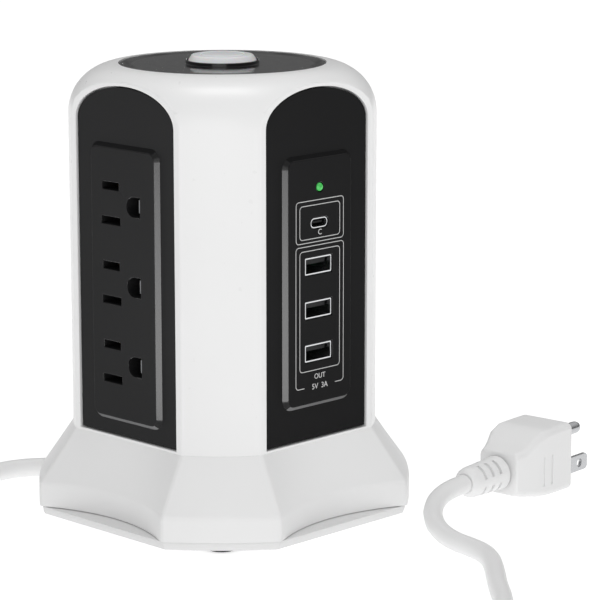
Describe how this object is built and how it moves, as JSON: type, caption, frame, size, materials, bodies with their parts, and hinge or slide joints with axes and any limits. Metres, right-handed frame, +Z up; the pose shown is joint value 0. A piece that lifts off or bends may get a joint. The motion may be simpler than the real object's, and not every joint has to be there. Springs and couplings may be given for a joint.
{
  "type": "tower power strip",
  "caption": "Tower power strip: a rounded white octagonal body with dark socket panels, a USB charging panel, a push button on top, a lobed foot and a grounded supply cord.",
  "frame": {"origin": "on the surface the tower stands on, under the middle of its body, the free cord not counted", "axes": "+Z up; -Y is the front column; the charging panel faces +X -Y; the cord leaves the foot towards +Y"},
  "size_m": [0.2448, 0.4014, 0.1718],
  "materials": {
    "white_housing": "moulded fire-retardant plastic, satin",
    "white_foot": "moulded plastic, satin",
    "grey_plate": "moulded plastic, matt",
    "dark_panel": "moulded plastic, fine grain",
    "dark_disc": "moulded plastic, polished",
    "button": "milky moulded plastic",
    "inner_plastic": "moulded plastic",
    "board": "glass-fibre circuit board",
    "contact_brass": "stamped strip",
    "steel_shell": "drawn and plated sheet",
    "screw_steel": "zinc plated",
    "plug_metal": "nickel-plated brass",
    "lens": "clear tinted plastic",
    "varistor": "epoxy dipped",
    "foot_rubber": "moulded rubber",
    "cord_jacket": "flexible PVC, satin",
    "plug_moulding": "PVC moulded over the conductors",
    "tie": "hook-and-loop strap"
  },
  "bodies": {
    "tower": {"tower_shell": "white_housing", "usb_panel": "dark_panel", "usb_c_shell": "steel_shell", "usb_c_tongue": "inner_plastic", "led_lens": "lens", "charger_board": "board", "top_disc": "dark_disc", "button_spring": "screw_steel", "switch_housing": "inner_plastic", "switch_bridge": "inner_plastic", "surge_board": "board", "base_skirt": "white_foot", "base_plate": "grey_plate", "cord_gland": "cord_jacket", "cord_lead": "cord_jacket", "cord_coil": "cord_jacket", "cord_tie": "tie", "cord_run": "cord_jacket", "plug_strain_relief": "cord_jacket", "plug_body": "plug_moulding", "plug_blade_live": "plug_metal", "plug_blade_neutral": "plug_metal", "plug_earth_pin": "plug_metal", "ac_panel_front_left": "dark_panel", "ac_carrier_front_left": "inner_plastic", "live_strip_front_left": "contact_brass", "neutral_strip_front_left": "contact_brass", "earth_strip_front_left": "contact_brass", "ac_panel_rear_left": "dark_panel", "ac_carrier_rear_left": "inner_plastic", "live_strip_rear_left": "contact_brass", "neutral_strip_rear_left": "contact_brass", "earth_strip_rear_left": "contact_brass", "ac_panel_rear_right": "dark_panel", "ac_carrier_rear_right": "inner_plastic", "live_strip_rear_right": "contact_brass", "neutral_strip_rear_right": "contact_brass", "earth_strip_rear_right": "contact_brass", "usb_a_shell_1": "steel_shell", "usb_a_tongue_1": "inner_plastic", "varistor_1": "varistor", "usb_a_shell_2": "steel_shell", "usb_a_tongue_2": "inner_plastic", "varistor_2": "varistor", "usb_a_shell_3": "steel_shell", "usb_a_tongue_3": "inner_plastic", "varistor_3": "varistor", "rubber_foot_front": "foot_rubber", "rubber_foot_right": "foot_rubber", "rubber_foot_rear": "foot_rubber", "rubber_foot_left": "foot_rubber", "base_screw_1": "screw_steel", "base_screw_2": "screw_steel", "base_screw_3": "screw_steel", "base_screw_4": "screw_steel"},
    "button": {"power_button": "button", "switch_plunger": "inner_plastic"}
  },
  "joints": [
    {"name": "button_press", "type": "slide", "parent": "tower", "child": "button", "axis": [0, 0, -1], "range_m": [0, 0.0022], "stiffness_N_per_m": 500, "springref_m": -0.002, "deforming": ["button_spring"]}
  ]
}
